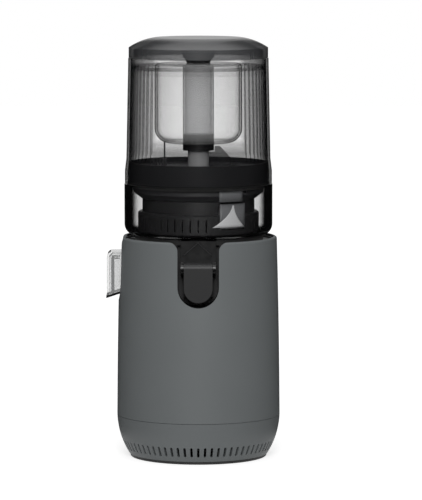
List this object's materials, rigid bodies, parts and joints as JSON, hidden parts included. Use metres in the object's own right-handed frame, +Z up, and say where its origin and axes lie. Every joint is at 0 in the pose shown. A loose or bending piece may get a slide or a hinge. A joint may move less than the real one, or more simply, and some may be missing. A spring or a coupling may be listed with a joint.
{
  "type": "cold press juicer",
  "caption": "Upright slow juicer with a round housing, a lift-off drum with strainer and auger, a tinted self-feeding hopper, a lid and a flip-down spout cap.",
  "frame": {"origin": "centre of the flat face that the juicer stands on, on the drive axis", "axes": "+Z up along the drive axis; -Y to the front, where the juice spout is; -X to the pulp spout"},
  "size_m": [0.1762, 0.168, 0.427],
  "materials": {
    "housing": "fine matte moulded",
    "black_plastic": "matte moulded",
    "black_gloss": "polished moulded",
    "rubber": "moulded silicone rubber",
    "gearbox_plastic": "glass-filled moulded",
    "steel": "turned and ground",
    "brass": "hobbed",
    "board": "solder mask",
    "clear_tint": "clear moulded, lightly tinted",
    "clear": "clear moulded",
    "smoke_tint": "smoke-tinted moulded",
    "smoke_lid": "dark smoke-tinted moulded",
    "grey_tint": "grey translucent moulded",
    "auger_plastic": "tough moulded, satin"
  },
  "bodies": {
    "base": {"body_shell": "housing", "base_skirt": "housing", "bottom_cover": "black_plastic", "base_pad": "rubber", "top_deck": "black_plastic", "shaft_seal": "rubber", "gearbox_housing": "gearbox_plastic", "gearbox_cover": "gearbox_plastic", "lower_bearing": "steel", "upper_bearing": "steel", "gear_pin": "steel", "gearbox_screws": "steel", "motor_can": "steel", "motor_end_cap": "steel", "motor_stator": "steel", "motor_lower_bearing": "steel", "motor_upper_bearing": "steel", "control_board": "board", "switch_bezel": "black_plastic", "cord_gland": "rubber"},
    "output_drive": {"output_gear": "steel", "drive_shaft": "steel"},
    "compound_drive": {"compound_gear": "steel"},
    "motor_drive": {"motor_rotor": "steel", "motor_pinion": "brass", "cooling_fan": "black_plastic"},
    "rocker": {"rocker_switch": "black_gloss"},
    "drum": {"juice_drum": "clear_tint", "drum_gasket": "rubber", "hub_packing": "rubber", "juice_spout": "black_gloss", "cap_hinge_pin": "steel", "pulp_spout": "clear", "outer_strainer": "black_gloss"},
    "spout_cap": {"juice_cap": "black_plastic", "juice_cap_seal": "rubber"},
    "screw": {"auger": "auger_plastic", "auger_insert": "steel"},
    "hopper": {"hopper_wall": "smoke_tint", "hopper_base": "black_gloss", "hopper_seal": "rubber"},
    "feeder": {"feed_rotor": "auger_plastic", "feed_blade": "smoke_tint"},
    "lid": {"lid_cover": "smoke_lid", "lid_seal": "rubber", "lid_boss": "black_plastic", "insert_cup": "clear", "insert_cap": "clear", "insert_tube": "grey_tint", "shaft_bush": "black_plastic"}
  },
  "joints": [
    {"name": "drum_lift", "type": "slide", "parent": "base", "child": "drum", "axis": [0, 0, 1], "range_m": [0, 0.085]},
    {"name": "hopper_lift", "type": "slide", "parent": "drum", "child": "hopper", "axis": [0, 0, 1], "range_m": [0, 0.06]},
    {"name": "lid_lift", "type": "slide", "parent": "hopper", "child": "lid", "axis": [0, 0, 1], "range_m": [0, 0.1]},
    {"name": "screw_turn", "type": "hinge", "parent": "drum", "child": "screw", "pos_m": [0, 0, 0.25], "axis": [0, 0, 1], "continuous": true},
    {"name": "feeder_turn", "type": "hinge", "parent": "hopper", "child": "feeder", "pos_m": [0, 0, 0.305], "axis": [0, 0, 1], "continuous": true},
    {"name": "output_turn", "type": "hinge", "parent": "base", "child": "output_drive", "pos_m": [0, 0, 0.2], "axis": [0, 0, 1], "continuous": true},
    {"name": "compound_turn", "type": "hinge", "parent": "base", "child": "compound_drive", "pos_m": [0, 0.045, 0.19], "axis": [0, 0, 1], "continuous": true},
    {"name": "motor_turn", "type": "hinge", "parent": "base", "child": "motor_drive", "pos_m": [0.02598, 0.03, 0.13], "axis": [0, 0, 1], "continuous": true},
    {"name": "cap_swing", "type": "hinge", "parent": "drum", "child": "spout_cap", "pos_m": [0, -0.076, 0.199], "axis": [-1, 0, 0], "range_deg": [0, 100]},
    {"name": "switch_rock", "type": "hinge", "parent": "base", "child": "rocker", "pos_m": [0, 0.0795, 0.078], "axis": [1, 0, 0], "range_deg": [-8, 8]}
  ],
  "couplings": [
    {"joint": "feeder_turn", "follows": "screw_turn", "ratio": 1},
    {"joint": "output_turn", "follows": "screw_turn", "ratio": 1},
    {"joint": "compound_turn", "follows": "screw_turn", "ratio": -5},
    {"joint": "motor_turn", "follows": "screw_turn", "ratio": 20}
  ]
}
